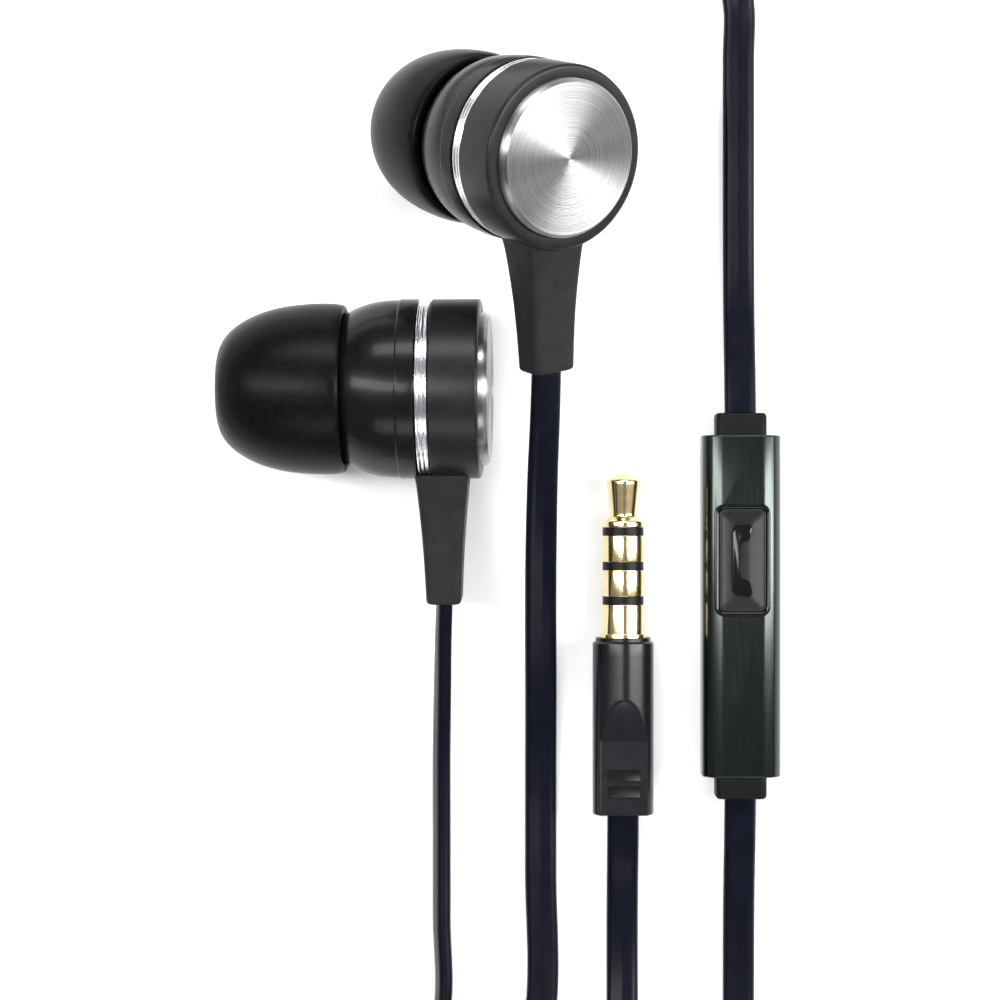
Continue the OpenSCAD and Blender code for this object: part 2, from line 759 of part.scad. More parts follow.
// Eight points round the flat section at point i
function section(route, i) =
    let (p = route[i], t = travel(route, i),
         side = [-t[1], t[0], 0] / norm([t[0], t[1]]),
         up = cross(t, side),
         wide = cos(p[3]) * side + sin(p[3]) * up,
         thick = cross(t, wide),
         w = cord_w / 2, h = cord_t / 2, c = cord_t * 0.28)
    [for (q = [[w, -h + c], [w, h - c], [w - c, h], [c - w, h],
               [-w, h - c], [-w, c - h], [c - w, -h], [w - c, -h]])
        [p[0], p[1], p[2]] + q[0] * wide + q[1] * thick];

module cord_tube(route) {
    n = len(route);
    points = [for (i = [0:n - 1]) for (p = section(route, i)) p];
    sides = [for (i = [0:n - 2]) for (k = [0:7]) let (m = (k + 1) % 8)
        each [[i * 8 + k, (i + 1) * 8 + k, (i + 1) * 8 + m],
              [i * 8 + k, (i + 1) * 8 + m, i * 8 + m]]];
    caps = [[for (k = [0:7]) k], [for (k = [7:-1:0]) (n - 1) * 8 + k]];
    color([0.05, 0.05, 0.09]) polyhedron(points, concat(sides, caps));
}

// A slot shape: two round ends of one radius joined by straight sides
module oblong(r, x0, x1) {
    translate([x0, -r]) square([x1 - x0, 2 * r]);
    for (x = [x0, x1]) translate([x, 0]) circle(r = r);
}

module cord_hank() {
    color([0.05, 0.05, 0.09])
        translate([0, hank_top - hank_r, tie_t]) linear_extrude(height = hank_h)
            difference() {
                oblong(hank_r, hank_x[0] + hank_r, hank_x[1] - hank_r);
                oblong(hank_hole_r, hank_x[0] + hank_r, hank_x[1] - hank_r);
            }
}

module cable_tie() {
    inner_w = 2 * hank_r + 2 * 0.02;
    inner_h = hank_h + 0.02;
    color([0.1, 0.1, 0.1])
        translate([tie_x, hank_top - hank_r, tie_t + hank_h / 2]) difference() {
            cube([tie_w, inner_w + 2 * tie_t, inner_h + 2 * tie_t - 0.02], center = true);
            translate([0, 0, 0.01]) cube([tie_w + 2, inner_w, inner_h], center = true);
        }
}

// ---------- everything ----------

for (s = sides) for (p = bud_parts)
    place_bud(s) bud_part(p);
remote_sleeve();
remote_carrier();
remote_board();
button_bezel();
call_button();
switch_body();
switch_plunger();
microphone();
end_collar(1);  // upper_collar
end_collar(-1);  // lower_collar
plug_tip();
plug_ring_front();
plug_ring_rear();
plug_sleeve();
plug_insulators();
plug_core();
plug_barrel();
splitter_base();
splitter_cover();
cord_tube(left_route);  // left_cord
cord_tube(right_route);  // right_cord
cord_tube(upper_route);  // upper_cord
cord_tube(lower_route);  // lower_cord
cord_tube(plug_route);  // plug_cord
cord_hank();
cable_tie();
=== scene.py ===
"""Wired in-ear earphones: shells, silicone tips, remote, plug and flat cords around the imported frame."""

import json
import math

import bmesh
import bpy
import numpy as np
from mathutils import Matrix, Vector


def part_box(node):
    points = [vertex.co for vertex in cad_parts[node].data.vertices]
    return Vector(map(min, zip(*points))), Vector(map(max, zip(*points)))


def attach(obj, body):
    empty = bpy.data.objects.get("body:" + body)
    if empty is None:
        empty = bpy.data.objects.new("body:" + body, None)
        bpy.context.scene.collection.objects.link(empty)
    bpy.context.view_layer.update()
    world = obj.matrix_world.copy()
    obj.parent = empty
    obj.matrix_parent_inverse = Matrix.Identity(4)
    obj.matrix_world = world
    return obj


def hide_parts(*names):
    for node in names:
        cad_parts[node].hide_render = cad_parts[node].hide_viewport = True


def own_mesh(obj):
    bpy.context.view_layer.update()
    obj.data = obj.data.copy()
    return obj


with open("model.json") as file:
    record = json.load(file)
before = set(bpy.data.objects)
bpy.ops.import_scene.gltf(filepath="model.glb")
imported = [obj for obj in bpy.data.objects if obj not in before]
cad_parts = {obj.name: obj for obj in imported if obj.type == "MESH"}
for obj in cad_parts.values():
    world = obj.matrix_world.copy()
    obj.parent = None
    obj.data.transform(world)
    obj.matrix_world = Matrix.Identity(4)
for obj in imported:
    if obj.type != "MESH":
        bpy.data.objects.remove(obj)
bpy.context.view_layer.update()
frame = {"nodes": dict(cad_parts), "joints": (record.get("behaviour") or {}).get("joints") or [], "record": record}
nodes = frame["nodes"]
ROOT = "earphones"
SIDES = ("left", "right")
MM = 0.001                              # every size below is in millimetres
MERGE_GAP = 1e-4                        # points closer than this become one
CREASE = 32                             # degrees; a sharper edge is shaded as a crease

# Flat cord
CORD_W = 2.7
CORD_T = 1.35
CORD_STEP = 0.8                         # between two rings of its mesh
# Hank of cord, as a slot-shaped winding
HANK_INNER_R = 8.1
HANK_TURNS = 3
TURN_PITCH = 1.42
LAYER_PITCH = 2.75
TIE_T = 0.5

# ---------- the frame's own places ----------


def box_mm(node):
    """Lowest and highest corner of a CAD node, in millimetres."""
    low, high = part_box(node)
    return np.array(low) / MM, np.array(high) / MM


def centre_mm(node):
    """Middle of a CAD node's box."""
    low, high = box_mm(node)
    return (low + high) / 2


def vertices_mm(node):
    """Every point of a CAD node's mesh."""
    return np.array([v.co for v in nodes[node].data.vertices], float) / MM


def placed(x, y, z, origin):
    """A place: its three axes, and its origin in millimetres."""
    m = Matrix.Identity(4)
    for column, axis in enumerate((x, y, z)):
        for row in range(3):
            m[row][column] = axis[row]
    for row in range(3):
        m[row][3] = origin[row] * MM
    return m


def upright(x, y, z=0):
    """A place whose axes are those of the whole object, with its origin in millimetres."""
    return placed((1, 0, 0), (0, 1, 0), (0, 0, 1), (x, y, z))


def bud_place(side):
    """A bud's own place: z along its axis to the back disc, -y to the cord, origin over the stem."""
    joint = next(j for j in frame["joints"] if j["name"] == f"{side}_tip_pull")
    axis = -np.array(joint["axis"], float)
    axis /= np.linalg.norm(axis)
    ring = centre_mm(f"{side}_trim_ring")
    stem = vertices_mm(f"{side}_strain_relief") - ring
    along = stem @ axis
    across = stem - np.outer(along, axis)
    reach = np.linalg.norm(across, axis=1)
    end_depth = 0.3                     # of the stem's end, which shows where it points
    end = reach > reach.max() - end_depth
    y = -across[end].mean(0)
    y /= np.linalg.norm(y)
    return placed(np.cross(y, axis), y, axis, ring + along[end].mean() * axis)


def span(node, place):
    """(lowest z, highest z, largest radius) of a node in a place, in millimetres."""
    inverse = np.array(place.inverted(), float)
    points = vertices_mm(node) @ inverse[:3, :3].T + inverse[:3, 3] / MM
    radii = np.hypot(points[:, 0], points[:, 1])
    return points[:, 2].min(), points[:, 2].max(), radii.max()


# ---------- mesh building ----------


def finished(name, bm, place, material, sharp=CREASE):
    """Turns a bmesh in millimetres into a smooth-shaded object at its place."""
    bmesh.ops.remove_doubles(bm, verts=bm.verts, dist=MERGE_GAP)
    bmesh.ops.recalc_face_normals(bm, faces=bm.faces)
    bmesh.ops.scale(bm, vec=(MM, MM, MM), verts=bm.verts)
    mesh = bpy.data.meshes.new(name)
    bm.to_mesh(mesh)
    bm.free()
    mesh.polygons.foreach_set("use_smooth", [True] * len(mesh.polygons))
    mesh.set_sharp_from_angle(angle=math.radians(sharp))
    obj = bpy.data.objects.new(name, mesh)
    bpy.context.scene.collection.objects.link(obj)
    obj.matrix_world = place
    mesh.materials.append(material)
    return obj


def skin(bm, rings, closed=False, caps=True):
    """Joins rings of equally many points with quads."""
    grid = [[bm.verts.new(p) for p in ring] for ring in rings]
    pairs = list(zip(grid[:-1], grid[1:]))
    if closed:
        pairs.append((grid[-1], grid[0]))
    n = len(grid[0])
    for a, b in pairs:
        for i in range(n):
            j = (i + 1) % n
            bm.faces.new((a[i], a[j], b[j], b[i]))
    if caps and not closed:
        bm.faces.new(grid[0][::-1])
        bm.faces.new(grid[-1])


def rounded(outline, steps=4, closed=True):
    """Rounds an outline: a point (x, y, cut) is cut back by cut along both of its edges."""
    out = []
    n = len(outline)
    most = 0.49                         # of an edge, so that two cuts never meet
    for i, point in enumerate(outline):
        p = np.array(point[:2], float)
        cut_back = point[2] if len(point) > 2 else 0
        if not cut_back or (not closed and i in (0, n - 1)):
            out.append(p)
            continue
        ends = []
        for neighbour in (outline[i - 1], outline[(i + 1) % n]):
            edge = np.array(neighbour[:2], float) - p
            length = np.linalg.norm(edge)
            ends.append(p + edge / length * min(cut_back, most * length))
        for t in np.linspace(0, 1, steps + 1):
            out.append((1 - t) ** 2 * ends[0] + 2 * t * (1 - t) * p + t * t * ends[1])
    return np.array(out)


def turned(name, outline, place, material, segments=160, sharp=CREASE):
    """A solid of revolution about z from a closed outline of (radius, z)."""
    bm = bmesh.new()
    angles = np.linspace(0, 2 * math.pi, segments, endpoint=False)
    rings = [[(r * math.cos(a), r * math.sin(a), z) for r, z in outline] for a in angles]
    skin(bm, rings, closed=True)
    return finished(name, bm, place, material, sharp)


def arc(cx, cy, r, start, end, steps):
    """Points on a circle, as (x, y), between two angles in degrees."""
    return [(cx + r * math.cos(math.radians(a)), cy + r * math.sin(math.radians(a)))
            for a in np.linspace(start, end, steps + 1)]


def smoothed(points, step):
    """A smooth outline through (x, y) points, about step apart."""
    return [tuple(p[:2]) for p in spline([(x, y, 0) for x, y in points], step)]


def spline(points, step):
    """A smooth line through points of any dimension, about step apart."""
    p = np.array(points, float)
    gaps = np.linalg.norm(np.diff(p[:, :3], axis=0), axis=1)
    at = np.concatenate([[0], np.cumsum(gaps)])
    slope = np.gradient(p, at, axis=0)
    out = []
    for i, gap in enumerate(gaps):
        for t in np.linspace(0, 1, max(2, math.ceil(gap / step)), endpoint=False):
            h = (2 * t**3 - 3 * t**2 + 1, t**3 - 2 * t**2 + t, 3 * t**2 - 2 * t**3, t**3 - t**2)
            out.append(h[0] * p[i] + h[1] * gap * slope[i] + h[2] * p[i + 1] + h[3] * gap * slope[i + 1])
    out.append(p[-1])
    return np.array(out)


def rect_loop(w, h, r, steps=6):
    """A rectangle with round corners, as (x, y) points."""
    least_flat = 0.01
    r = min(r, w / 2 - least_flat, h / 2 - least_flat)
    loop = []
    for quarter, (sx, sy) in enumerate(((1, 1), (-1, 1), (-1, -1), (1, -1))):
        loop += arc(sx * (w / 2 - r), sy * (h / 2 - r), r, 90 * quarter, 90 * quarter + 90, steps)
    return np.array(loop)


def edge_steps(bevel, steps=4):
    """(inset, depth) pairs that round an edge by a quarter circle, from the flat to the wall."""
    return [(bevel * (1 - math.sin(a)), bevel * (1 - math.cos(a)))
            for a in np.linspace(0, math.pi / 2, steps + 1)]


def block_rings(w, l, r, z0, z1, bevel, crown=0.0):
    """Rings of a block with round corners and round edges; crown lifts the middle of its top."""
    least_r = 0.04
    rings = []
    for inset, depth in edge_steps(bevel):
        rings.append((inset, z0 + depth))
    for inset, depth in reversed(edge_steps(bevel)):
        rings.append((inset, z1 - depth - crown))
    if crown:
        for share in np.linspace(0.15, 0.85, 5):
            rings.append((bevel + share * (w / 2 - bevel), z1 - crown * (1 - share) ** 2))
    return [[(x, y, z) for x, y in rect_loop(w - 2 * i, l - 2 * i, max(r - i, least_r))]
            for i, z in rings]


def block(name, w, l, r, z0, z1, bevel, place, material, crown=0.0):
    """A block with round corners and edges between two heights."""
    bm = bmesh.new()
    skin(bm, block_rings(w, l, r, z0, z1, bevel, crown))
    return finished(name, bm, place, material)


def cut(obj, cutters):
    """Cuts closed tools out of a piece and removes them."""
    for tool in cutters:
        boolean = obj.modifiers.new("cut", "BOOLEAN")
        boolean.operation = "DIFFERENCE"
        boolean.solver = "EXACT"
        boolean.object = tool
    bpy.context.view_layer.update()
    evaluated = obj.evaluated_get(bpy.context.evaluated_depsgraph_get())
    mesh = bpy.data.meshes.new_from_object(evaluated)
    obj.modifiers.clear()
    obj.data = mesh
    for tool in cutters:
        bpy.data.objects.remove(tool)
    mesh.set_sharp_from_angle(angle=math.radians(CREASE))


def stands_for(obj, body, slot, *replaced):
    """A made piece rides on a body and replaces CAD nodes."""
    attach(obj, body)
    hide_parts(*replaced)


# ---------- materials ----------


class Finish:
    """A Principled material with procedural roughness, colour and bump."""

    def __init__(self, name, color, roughness, metallic=0.0, **sockets):
        self.material = bpy.data.materials.new(name)
        self.material.use_nodes = True
        self.tree = self.material.node_tree
        self.shader = self.tree.nodes["Principled BSDF"]
        self.shader.inputs["Base Color"].default_value = (*color, 1)
        self.shader.inputs["Roughness"].default_value = roughness
        self.shader.inputs["Metallic"].default_value = metallic
        for socket, value in sockets.items():
            self.shader.inputs[socket.replace("_", " ")].default_value = value
        self.color = color
        self.roughness = roughness
        self.height = None

    def node(self, kind, **inputs):
        made = self.tree.nodes.new(kind)
        for key, value in inputs.items():
            made.inputs[key.replace("_", " ")].default_value = value
        return made

    def link(self, output, target):
        self.tree.links.new(output, target)

    def place(self):
        """Object coordinates in millimetres."""
        if not hasattr(self, "coordinates"):
            scale = self.node("ShaderNodeVectorMath")
            scale.operation = "SCALE"
            scale.inputs["Scale"].default_value = 1 / MM
            self.link(self.node("ShaderNodeTexCoord").outputs["Object"], scale.inputs[0])
            self.coordinates = scale.outputs[0]
        return self.coordinates

    def noise(self, scale, detail=3.0, stretch=None):
        """Soft noise over the piece, closer along an axis by its stretch."""
        texture = self.node("ShaderNodeTexNoise", Scale=scale, Detail=detail)
        source = self.place()
        if stretch:
            mapping = self.node("ShaderNodeMapping")
            mapping.inputs["Scale"].default_value = stretch
            self.link(source, mapping.inputs["Vector"])
            source = mapping.outputs[0]
        self.link(source, texture.inputs["Vector"])
        return texture.outputs[0]

    def math(self, operation, a, b=None):
        """One step of arithmetic on outputs or plain numbers."""
        made = self.node("ShaderNodeMath")
        made.operation = operation
        for k, value in enumerate((a, b)):
            if value is None:
                continue
            if isinstance(value, (int, float)):
                made.inputs[k].default_value = value
            else:
                self.link(value, made.inputs[k])
        return made.outputs[0]

    def mapped(self, source, low, high):
        """A 0 to 1 source, spread from low to high."""
        made = self.node("ShaderNodeMapRange", To_Min=low, To_Max=high)
        self.link(source, made.inputs["Value"])
        return made.outputs[0]

    def vary_roughness(self, source, spread):
        """Lets the roughness wander by spread either way."""
        self.link(self.mapped(source, self.roughness - spread, self.roughness + spread),
                  self.shader.inputs["Roughness"])

    def vary_color(self, source, other, low=0.35, high=0.65):
        """Blends from the finish's colour to another as the source goes from low to high."""
        ramp = self.node("ShaderNodeValToRGB")
        ramp.color_ramp.elements[0].position = low
        ramp.color_ramp.elements[1].position = high
        ramp.color_ramp.elements[0].color = (*self.color, 1)
        ramp.color_ramp.elements[1].color = (*other, 1)
        self.link(source, ramp.inputs[0])
        self.link(ramp.outputs[0], self.shader.inputs["Base Color"])

    def bump(self, source, depth):
        """Adds a bump whose full height is depth millimetres."""
        made = self.node("ShaderNodeBump", Strength=1.0, Distance=depth * MM)
        self.link(source, made.inputs["Height"])
        if self.height:
            self.link(self.height, made.inputs["Normal"])
        self.height = made.outputs[0]
        self.link(self.height, self.shader.inputs["Normal"])

    def radius(self):
        """Distance from the object's own z axis, in millimetres."""
        parts = self.node("ShaderNodeSeparateXYZ")
        self.link(self.place(), parts.inputs[0])
        squares = [self.math("MULTIPLY", parts.outputs[k], parts.outputs[k]) for k in (0, 1)]
        return self.math("SQRT", self.math("ADD", *squares))


def silicone():
    f = Finish("tip_silicone", (0.0017, 0.0017, 0.002), 0.34, Specular_IOR_Level=0.075)
    f.vary_roughness(f.noise(0.6), 0.05)
    f.vary_color(f.noise(1.8, 4.0), (0.004, 0.004, 0.0045))
    f.bump(f.noise(9.0, 2.0), 0.0014)
    return f.material


def gloss_shell():
    f = Finish("shell_gloss", (0.0026, 0.0026, 0.003), 0.28, Specular_IOR_Level=0.13,
               Coat_Weight=0.07, Coat_Roughness=0.1)
    f.vary_roughness(f.noise(0.9, 4.0), 0.03)
    f.vary_color(f.noise(0.5), (0.005, 0.005, 0.0055))
    f.bump(f.noise(2.2, 1.0), 0.0012)
    return f.material


def satin_shell():
    f = Finish("shell_satin", (0.006, 0.006, 0.0064), 0.34, Specular_IOR_Level=0.2)
    f.vary_roughness(f.noise(1.4, 4.0), 0.04)
    f.vary_color(f.noise(0.7), (0.009, 0.009, 0.0096))
    f.bump(f.noise(14.0, 2.0), 0.0006)
    return f.material


def chrome():
    f = Finish("ring_chrome", (0.93, 0.94, 0.95), 0.18, metallic=1.0)
    f.vary_roughness(f.noise(6.0, 5.0, (1, 1, 12)), 0.04)
    f.vary_color(f.noise(2.0), (0.8, 0.81, 0.84))
    f.bump(f.noise(20.0, 2.0, (1, 1, 6)), 0.0002)
    return f.material


def spun_aluminium():
    """Turned metal: fine circular grooves that throw bow-tie highlights."""
    f = Finish("disc_aluminium", (0.2, 0.2, 0.196), 0.36, metallic=1.0, Anisotropic=0.92,
               Anisotropic_Rotation=0.25)
    tangent = f.node("ShaderNodeTangent")
    tangent.direction_type = "RADIAL"
    tangent.axis = "Z"
    f.link(tangent.outputs[0], f.shader.inputs["Tangent"])
    radius = f.radius()
    rings = f.node("ShaderNodeTexNoise", Scale=9.0, Detail=6.0, Roughness=0.75)
    rings.noise_dimensions = "1D"
    f.link(radius, rings.inputs["W"])
    f.vary_color(rings.outputs[0], (0.37, 0.37, 0.36))
    f.vary_roughness(rings.outputs[0], 0.09)
    grooves = 55.0                      # radians of groove in a millimetre
    f.bump(f.math("SINE", f.math("MULTIPLY", radius, grooves)), 0.0016)
    f.bump(rings.outputs[0], 0.006)
    return f.material


def stem_rubber():
    f = Finish("stem_rubber", (0.0125, 0.0125, 0.0128), 0.48, Specular_IOR_Level=0.12)
    f.vary_roughness(f.noise(1.2, 4.0), 0.06)
    f.vary_color(f.noise(0.8), (0.016, 0.016, 0.0163))
    f.bump(f.noise(11.0, 3.0), 0.002)
    return f.material


def cord_jacket():
    f = Finish("cord_jacket", (0.002, 0.0024, 0.0062), 0.3, Specular_IOR_Level=0.1)
    f.vary_roughness(f.noise(0.8, 4.0), 0.05)
    f.vary_color(f.noise(0.5), (0.003, 0.0035, 0.0085))
    f.bump(f.noise(7.0, 2.0), 0.001)
    return f.material


def sleeve_metal():
    """Brushed dark anodising, brushed along the sleeve."""
    f = Finish("sleeve_metal", (0.036, 0.041, 0.039), 0.2, metallic=0.97)
    grain = f.noise(3.0, 6.0, (6, 0.12, 6))
    f.vary_roughness(grain, 0.06)
    f.vary_color(grain, (0.046, 0.053, 0.05))
    f.bump(grain, 0.0004)
    return f.material


def glossy_black(name, roughness, tone):
    f = Finish(name, (tone, tone, tone), roughness, Specular_IOR_Level=0.2,
               Coat_Weight=0.08, Coat_Roughness=0.1)
    f.vary_roughness(f.noise(1.5, 4.0), 0.03)
    f.vary_color(f.noise(1.0), (1.4 * tone, 1.4 * tone, 1.4 * tone))
    f.bump(f.noise(4.0, 2.0), 0.0008)
    return f.material


def matte_black(name, tone, roughness):
    f = Finish(name, (tone, tone, tone * 1.05), roughness, Specular_IOR_Level=0.1)
    f.vary_roughness(f.noise(1.5, 4.0), 0.05)
    f.vary_color(f.noise(0.9), (tone * 1.3, tone * 1.3, tone * 1.4))
    f.bump(f.noise(10.0, 3.0), 0.0015)
    return f.material


def gold():
    f = Finish("plug_gold", (0.86, 0.66, 0.32), 0.14, metallic=1.0)
    f.vary_roughness(f.noise(3.0, 5.0, (1, 1, 8)), 0.05)
    f.vary_color(f.noise(1.2), (0.92, 0.75, 0.42))
    f.bump(f.noise(12.0, 2.0, (1, 1, 8)), 0.0002)
    return f.material


def barrel_plastic():
    f = Finish("barrel_plastic", (0.0045, 0.0048, 0.006), 0.24, Specular_IOR_Level=0.26)
    f.vary_roughness(f.noise(1.3, 4.0), 0.05)
    f.vary_color(f.noise(0.8), (0.007, 0.0075, 0.009))
    f.bump(f.noise(16.0, 2.0), 0.0006)
    return f.material


def metal(name, color, roughness):
    f = Finish(name, color, roughness, metallic=1.0)
    f.vary_roughness(f.noise(4.0, 4.0), 0.06)
    f.vary_color(f.noise(2.0), tuple(0.8 * c for c in color))
    f.bump(f.noise(9.0), 0.002)
    return f.material


def woven_mesh():
    """Fine steel mesh: two crossed sets of wires."""
    f = Finish("screen_mesh", (0.5, 0.5, 0.52), 0.35, metallic=1.0)
    parts = f.node("ShaderNodeSeparateXYZ")
    f.link(f.place(), parts.inputs[0])
    wires = 28.0                        # radians of wave in a millimetre
    waves = [f.math("SINE", f.math("MULTIPLY", parts.outputs[k], wires)) for k in (1, 2)]
    weave = f.math("MAXIMUM", *waves)
    f.vary_color(weave, (0.08, 0.08, 0.085), 0.2, 0.75)
    f.bump(weave, 0.02)
    return f.material


def plain_plastic(name, color, roughness):
    f = Finish(name, color, roughness)
    f.vary_roughness(f.noise(2.0, 4.0), 0.06)
    f.vary_color(f.noise(1.5), tuple(1.4 * c for c in color))
    f.bump(f.noise(8.0, 3.0), 0.004)
    return f.material


FINISHES = {
    "tip_rubber": silicone(),
    "screen": woven_mesh(),
    "shell_gloss": gloss_shell(),
    "ring_chrome": chrome(),
    "shell_satin": satin_shell(),
    "disc_metal": spun_aluminium(),
    "stem_rubber": stem_rubber(),
    "driver_plastic": plain_plastic("driver_plastic", (0.03, 0.03, 0.035), 0.5),
    "film": plain_plastic("driver_film", (0.5, 0.5, 0.46), 0.25),
    "copper": metal("coil_copper", (0.62, 0.3, 0.14), 0.3),
    "steel": metal("plated_steel", (0.5, 0.5, 0.52), 0.28),
    "board": plain_plastic("circuit_board", (0.015, 0.1, 0.05), 0.35),
    "clamp_brass": metal("stamped_brass", (0.62, 0.48, 0.2), 0.3),
    "sleeve_metal": sleeve_metal(),
    "inner_plastic": plain_plastic("inner_plastic", (0.03, 0.03, 0.03), 0.5),
    "bezel_gloss": glossy_black("bezel_gloss", 0.12, 0.004),
    "button_gloss": glossy_black("button_gloss", 0.36, 0.007),
    "collar_rubber": matte_black("collar_rubber", 0.004, 0.5),
    "plug_gold": gold(),
    "insulator": matte_black("band_plastic", 0.005, 0.35),
    "barrel_rubber": barrel_plastic(),
    "splitter_rubber": matte_black("splitter_moulding", 0.006, 0.45),
    "cord_rubber": cord_jacket(),
    "tie_rubber": matte_black("tie_rubber", 0.012, 0.6),
}

# ---------- camera and cords ----------


def make_camera():
    """Looks straight down on the plug, remote and earbuds."""
    low, high = box_mm("plug_barrel")
    view_width, height, sensor = 86.2, 260, 36
    left_of_plug, above_barrel = 10.5, 11.7
    centre = ((low[0] + high[0]) / 2 - left_of_plug, high[1] + above_barrel)
    data = bpy.data.cameras.new("camera")
    data.sensor_width = sensor
    data.lens = sensor * height / view_width
    data.clip_start, data.clip_end = 0.01, 20
    camera = bpy.data.objects.new("camera", data)
    camera.location = (centre[0] * MM, centre[1] * MM, height * MM)
    bpy.context.scene.collection.objects.link(camera)
    bpy.context.scene.camera = camera
    return Vector((centre[0] * MM, centre[1] * MM, 0))


view_centre = make_camera()

# Routes of the cords: [x, y, z, roll]; roll 0 lies flat and roll 90 stands on edge
LEFT_ROUTE = [
    [1.6, -23, 4.8, 81], [1.5, -25.8, 4.2, 80], [1.4, -30.3, 3.1, 77],
    [1.3, -36.3, 1.9, 76], [1.3, -42.3, 1.45, 76], [1.3, -50.3, 1.38, 76],
    [1.3, -58.3, 1.38, 79], [0.1, -62.8, 1.36, 85],
    [-3.1, -66.1, 1.36, 90], [-7.6, -67.3, 1.36, 90],
    [-18, -67.3, 1.36, 90], [-29.2, -67.3, 1.36, 90],
    [-33.7, -66.1, 1.36, 90], [-37, -62.8, 1.36, 90],
    [-38.2, -58.3, 1.36, 90], [-38.2, -36.3, 1.36, 90],
    [-38.2, -14.3, 1.36, 90], [-38.2, 7.7, 1.36, 90],
    [-38.2, 26, 1.36, 90], [-37, 30.5, 1.36, 90], [-33.7, 33.8, 1.36, 90],
    [-29.2, 35, 1.36, 90], [-17, 35, 1.36, 90], [-6, 35, 1.5, 90],
    [0.3, 35, 2, 90]]
RIGHT_ROUTE = [
    [10.12, -3.74, 11.8, -34], [10.03, -7.3, 10.8, -31],
    [9.85, -12.3, 9.1, -25], [9.75, -18.3, 6.6, -15], [9.75, -24.3, 4, -7],
    [9.8, -30.3, 2.1, 0], [9.8, -37.3, 0.95, 0], [9.8, -46.3, 0.7, 0],
    [9.8, -58.3, 0.7, 0], [8.9, -63.8, 1.05, 25], [5.7, -67.5, 1.35, 60],
    [0.8, -68.9, 1.36, 90], [-14, -68.9, 1.36, 90],
    [-29.2, -68.9, 1.36, 90], [-34.5, -67.5, 1.36, 90],
    [-38.4, -63.6, 1.36, 90], [-39.8, -58.3, 1.36, 90],
    [-39.8, -36.3, 1.36, 90], [-39.8, -14.3, 1.36, 90],
    [-39.8, 7.7, 1.36, 90], [-39.8, 26, 1.36, 90], [-38.4, 31.3, 1.36, 90],
    [-34.5, 35.2, 1.36, 90], [-29.2, 36.6, 1.36, 90],
    [-17, 36.6, 1.36, 90], [-6, 36.6, 1.5, 90], [0.3, 36.6, 2, 90]]
UPPER_ROUTE = [
    [14.3, 35.8, 2, 90], [18.2, 35.8, 1.6, 90], [22.9, 34.6, 1.35, 62],
    [25.8, 32, 1.2, 30], [26.8, 28.3, 0.74, 0], [26.8, 23.7, 0.7, 0],
    [26.8, 16.7, 0.7, 0], [26.8, 8.7, 0.7, 0], [26.8, 1.7, 1.1, 0],
    [26.8, -3.3, 2.1, 0], [26.8, -7, 2.6, 0]]
LOWER_ROUTE = [
    [26.8, -39.8, 2.6, 0], [26.8, -43.3, 2.1, 0], [26.8, -48.3, 1.1, 0],
    [26.8, -54.3, 0.7, 0], [26.8, -60.3, 0.7, 0], [26.8, -65.3, 1.1, 25],
    [27.1, -70.3, 1.5, 60], [27.9, -75.9, 1.85, 90]]
PLUG_ROUTE = [
    [12.3, -70.9, 4.3, 80], [15.6, -67.6, 3.5, 60], [16.8, -63.1, 2.3, 30],
    [16.8, -57.8, 1.1, 0], [16.8, -52.3, 0.75, 0], [16.8, -47.8, 1.2, 0],
    [16.8, -44.3, 2.1, 0], [16.8, -41.2, 2.6, 0]]


def hank_route():
    """Three turns inward on the table, then three outward on top of them, clockwise from above."""
    low, high = box_mm("cord_hank")
    outer_r = HANK_INNER_R + HANK_TURNS * TURN_PITCH
    middle_y = (low[1] + high[1]) / 2
    ends = (low[0] + outer_r + CORD_T / 2, high[0] - outer_r - CORD_T / 2)
    levels = (low[2] + LAYER_PITCH / 2, low[2] + LAYER_PITCH * 1.5)
    start_angle = 30                    # where the cord joins the right-hand end
    leave_share = 0.8                   # of the last turn, on the upper straight
    per_turn = 40
    count = int((2 * HANK_TURNS - 1 + leave_share) * per_turn)
    climb = 0.35 * per_turn             # points over which it climbs to the upper layer
    route = []
    for i in range(count + 1):
        turns = i / per_turn
        inward = min(turns / HANK_TURNS, 1)
        outward = max(turns - HANK_TURNS, 0) / (HANK_TURNS - 1 + leave_share)
        r = outer_r - HANK_TURNS * TURN_PITCH * (inward - outward)
        rise = np.clip((i - HANK_TURNS * per_turn + climb / 2) / climb, 0, 1)
        z = levels[0] + (levels[1] - levels[0]) * rise * rise * (3 - 2 * rise)
        x, y = oblong_point(turns, r, ends, start_angle)
        route.append([x, middle_y + y, z, 90])
    return route


def oblong_point(turns, r, ends, start_angle):
    """A point on a slot shape of end radius r, a number of clockwise turns from start_angle."""
    straight = ends[1] - ends[0]
    half = math.pi * r
    around = 2 * (half + straight)
    at = (turns * around + math.radians(90 - start_angle) * r) % around
    if at < half:                       # down the right-hand end, from the top
        a = math.pi / 2 - at / r
        return ends[1] + r * math.cos(a), r * math.sin(a)
    at -= half
    if at < straight:                   # along the bottom to the left
        return ends[1] - at, -r
    at -= straight
    if at < half:                       # up the left-hand end
        a = -math.pi / 2 - at / r
        return ends[0] + r * math.cos(a), r * math.sin(a)
    return ends[0] + at - half, r       # along the top to the right


